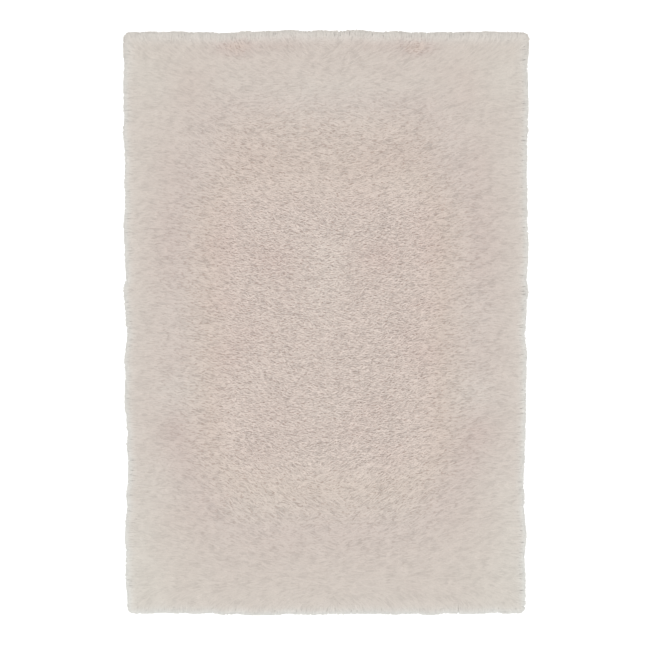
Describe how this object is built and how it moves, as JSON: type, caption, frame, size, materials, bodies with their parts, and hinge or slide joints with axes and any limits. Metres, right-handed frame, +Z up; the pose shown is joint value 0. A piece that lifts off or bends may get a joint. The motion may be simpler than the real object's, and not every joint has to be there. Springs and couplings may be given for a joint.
{
  "type": "shag rug",
  "caption": "Flat rectangular floor rug of long soft pile that leans outwards and hangs over its edges down to the floor.",
  "frame": {"origin": "middle of the rug's box, on the floor that it lies on", "axes": "+X across the rug's width, +Y along its length towards the end that is at the top of the picture, +Z up through the pile"},
  "size_m": [1.6212, 2.3402, 0.0444],
  "materials": {
    "pile": "long soft polyester pile, matt, greyish beige"
  },
  "bodies": {
    "root": {"shag_rug": "pile"}
  },
  "joints": []
}
